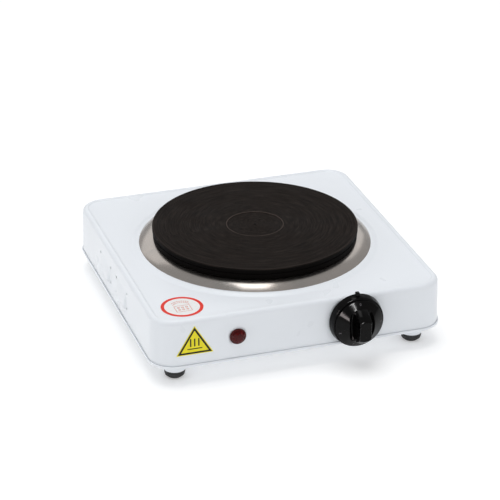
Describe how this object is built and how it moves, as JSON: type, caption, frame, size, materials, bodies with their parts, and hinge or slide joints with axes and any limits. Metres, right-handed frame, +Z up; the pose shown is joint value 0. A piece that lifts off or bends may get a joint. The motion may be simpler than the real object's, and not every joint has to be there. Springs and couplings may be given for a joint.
{
  "type": "hot plate",
  "caption": "Free-standing square electric hot plate with a round cast-iron plate, a steel trim ring, a turning heat knob, a lamp and rubber feet.",
  "frame": {"origin": "centre of the bottom of the whole outline, on the surface that the feet stand on", "axes": "+Z up, -Y towards the knob side, which is the front, +X to the right seen from the front"},
  "size_m": [0.267, 0.2966, 0.078],
  "materials": {
    "white_enamel": "gloss white enamel",
    "cast_iron_black": "matt black heat-proof coating, turned face",
    "stainless": "spun stainless steel",
    "coil_wire": "dull oxidised wire",
    "cement": "rough ceramic filling",
    "white_ceramic": "unglazed ceramic",
    "zinc_steel": "bright zinc plate",
    "spring_steel": "blue-grey spring steel",
    "bright_aluminium": "bright reflector sheet",
    "black_gloss": "gloss black phenolic",
    "black_moulding": "matt black moulding",
    "black_rubber": "matt black rubber",
    "brass": "plain brass",
    "red_lens": "dark red translucent lens",
    "bulb_glass": "clear glass",
    "lead_brown": "brown insulation",
    "lead_blue": "blue insulation",
    "lead_earth": "green and yellow insulation",
    "lead_sleeve": "woven glass-fibre sleeve",
    "label_white": "white label with a plain red ring",
    "label_yellow": "yellow label with a plain black border"
  },
  "bodies": {
    "casing": {"housing_shell": "white_enamel", "base_pan": "white_enamel", "base_screws": "zinc_steel", "foot_screws": "zinc_steel", "hot_plate": "cast_iron_black", "trim_ring": "stainless", "heating_coil": "coil_wire", "coil_cement": "cement", "plate_cover": "zinc_steel", "terminal_bead": "white_ceramic", "plate_terminals": "zinc_steel", "push_on_terminals": "brass", "clamp_bridge": "zinc_steel", "centre_stud": "zinc_steel", "heat_shield": "bright_aluminium", "stud_washer": "spring_steel", "stud_nut": "zinc_steel", "knob_bezel": "black_gloss", "thermostat_frame": "zinc_steel", "thermostat_bush": "brass", "bush_nut": "brass", "thermostat_spacers": "white_ceramic", "stack_rivet": "zinc_steel", "fixed_contact": "brass", "bimetal_strip": "spring_steel", "supply_tab": "brass", "lamp_lens": "red_lens", "lamp_body": "black_moulding", "neon_bulb": "bulb_glass", "lamp_clip": "spring_steel", "cord_gland": "black_rubber", "gland_nut": "black_moulding", "terminal_block": "white_ceramic", "terminal_screws": "brass", "earth_tag": "brass", "earth_screw": "zinc_steel", "live_lead": "lead_brown", "neutral_lead": "lead_blue", "switched_lead": "lead_sleeve", "lamp_lead_live": "lead_sleeve", "lamp_lead_neutral": "lead_sleeve", "earth_lead": "lead_earth", "round_label": "label_white", "triangle_label": "label_yellow", "foot_front_left": "black_rubber", "foot_front_right": "black_rubber", "foot_rear_left": "black_rubber", "foot_rear_right": "black_rubber"},
    "knob_assembly": {"knob": "black_gloss", "knob_clip": "spring_steel", "spindle": "brass"},
    "push_pin": {"push_pin": "white_ceramic"},
    "contact_arm": {"contact_arm": "spring_steel"}
  },
  "joints": [
    {"name": "knob_turn", "type": "hinge", "parent": "casing", "child": "knob_assembly", "pos_m": [0.0475, -0.13032, 0.0404], "axis": [0, 1, 0], "range_deg": [0, 270]},
    {"name": "pin_travel", "type": "slide", "parent": "casing", "child": "push_pin", "axis": [0, 1, 0], "range_m": [0, 0.0008]},
    {"name": "arm_flex", "type": "hinge", "parent": "casing", "child": "contact_arm", "pos_m": [0.0205, -0.10902, 0.0404], "axis": [0, 0, 1], "range_deg": [0, 1.7]}
  ],
  "couplings": [
    {"joint": "pin_travel", "follows": "knob_turn", "m_per_rad": 0.00014854},
    {"joint": "arm_flex", "follows": "knob_turn", "ratio": 0.0055017}
  ]
}
